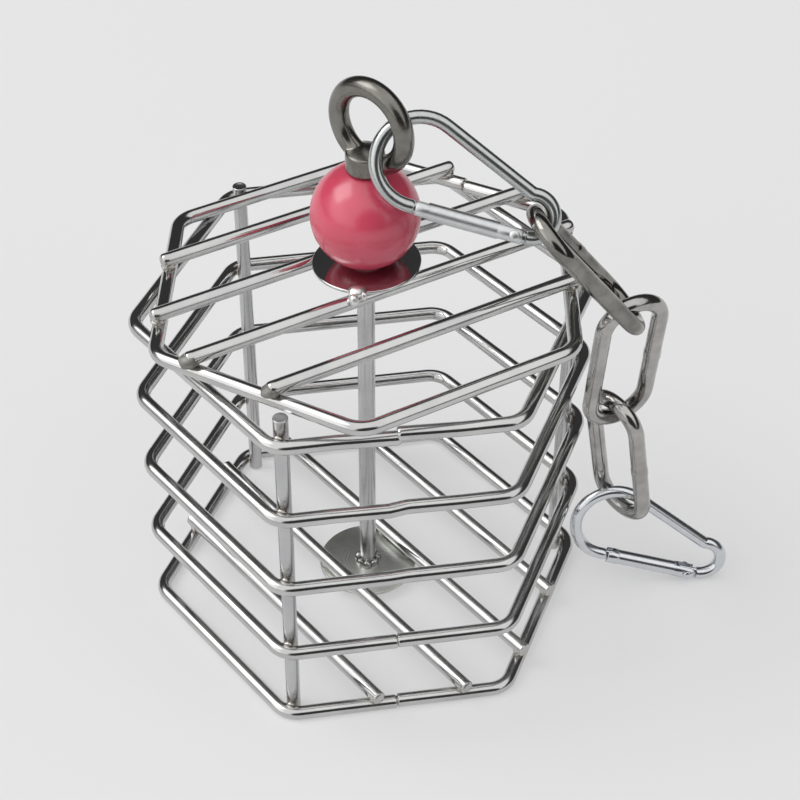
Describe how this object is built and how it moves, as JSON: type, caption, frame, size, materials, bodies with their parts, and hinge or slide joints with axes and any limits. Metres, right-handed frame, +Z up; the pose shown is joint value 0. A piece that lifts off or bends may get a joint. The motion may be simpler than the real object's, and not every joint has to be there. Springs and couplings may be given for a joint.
{
  "type": "bird foraging basket",
  "caption": "Hexagonal wire foraging basket with a loose wire lid, a bead and an eye nut on a centre rod, and a chain with snap hooks to hang it in a cage.",
  "frame": {"origin": "on the basket's axis, in the plane on which its lowest ring stands", "axes": "+Z up along the centre rod, +X through the corner with the right corner rod, where the chain hangs"},
  "size_m": [0.1404, 0.102, 0.1432],
  "materials": {
    "polished_steel": "polished stainless wire",
    "chain_steel": "polished dark stainless",
    "hook_zinc": "bright zinc plating",
    "spring_steel": "bare steel",
    "bead_plastic": "glossy pink plastic"
  },
  "bodies": {
    "basket": {"basket_ring_1": "polished_steel", "basket_ring_2": "polished_steel", "basket_ring_3": "polished_steel", "basket_ring_4": "polished_steel", "basket_ring_5": "polished_steel", "front_corner_rod": "polished_steel", "right_corner_rod": "polished_steel", "rear_corner_rod": "polished_steel", "floor_wire_1": "polished_steel", "floor_wire_2": "polished_steel", "floor_wire_3": "polished_steel", "floor_wire_4": "polished_steel", "floor_plate": "polished_steel", "centre_rod": "polished_steel"},
    "lid": {"lid_ring": "polished_steel", "lid_wire_1": "polished_steel", "lid_wire_2": "polished_steel", "lid_wire_3": "polished_steel", "lid_wire_4": "polished_steel", "lid_plate": "polished_steel"},
    "bead": {"bead": "bead_plastic"},
    "eye_nut": {"eye_nut": "chain_steel"},
    "upper_hook": {"upper_hook_body": "hook_zinc", "upper_hook_gate_pin": "spring_steel"},
    "upper_gate": {"upper_hook_gate": "hook_zinc", "upper_hook_gate_spring": "spring_steel"},
    "link_1": {"chain_link_1": "chain_steel"},
    "link_2": {"chain_link_2": "chain_steel"},
    "link_3": {"chain_link_3": "chain_steel"},
    "lower_hook": {"lower_hook_body": "hook_zinc", "lower_hook_gate_pin": "spring_steel"},
    "lower_gate": {"lower_hook_gate": "hook_zinc", "lower_hook_gate_spring": "spring_steel"}
  },
  "joints": [
    {"name": "lid_lift", "type": "slide", "parent": "basket", "child": "lid", "axis": [0, 0, 1], "range_m": [0, 0.03]},
    {"name": "bead_spin", "type": "hinge", "parent": "lid", "child": "bead", "pos_m": [0, 0, 0.10916], "axis": [0, 0, 1], "continuous": true},
    {"name": "nut_unscrew", "type": "slide", "parent": "lid", "child": "eye_nut", "axis": [0, 0, 1], "range_m": [0, 0.007]},
    {"name": "upper_hook_swing", "type": "hinge", "parent": "eye_nut", "child": "upper_hook", "pos_m": [0.00625, -0.00718, 0.12828], "axis": [-0.3923, -0.9198, 0], "range_deg": [0, 12]},
    {"name": "upper_gate_open", "type": "hinge", "parent": "upper_hook", "child": "upper_gate", "pos_m": [0.02818, -0.01919, 0.11444], "axis": [0.1377, 0.8457, -0.5155], "range_deg": [0, 30], "stiffness_Nm_per_rad": 0.01},
    {"name": "link_1_swing", "type": "hinge", "parent": "upper_hook", "child": "link_1", "pos_m": [0.03532, -0.01998, 0.11506], "axis": [0.0732, -0.9973, 0], "range_deg": [0, 15]},
    {"name": "link_2_swing", "type": "hinge", "parent": "link_1", "child": "link_2", "pos_m": [0.05611, -0.01845, 0.08826], "axis": [0.0925, -0.9956, 0.015], "range_deg": [0, 50]},
    {"name": "link_3_swing", "type": "hinge", "parent": "link_2", "child": "link_3", "pos_m": [0.056, -0.0131, 0.05524], "axis": [-0.9691, -0.2441, -0.0365], "range_deg": [0, 40]},
    {"name": "lower_hook_swing", "type": "hinge", "parent": "link_3", "child": "lower_hook", "pos_m": [0.06161, -0.01085, 0.02234], "axis": [0.5082, -0.8608, 0.0276], "range_deg": [-10, 45]},
    {"name": "lower_gate_open", "type": "hinge", "parent": "lower_hook", "child": "lower_gate", "pos_m": [0.07796, -0.01617, 0.00269], "axis": [0.0964, 0.9781, -0.1845], "range_deg": [0, 30], "stiffness_Nm_per_rad": 0.01}
  ]
}
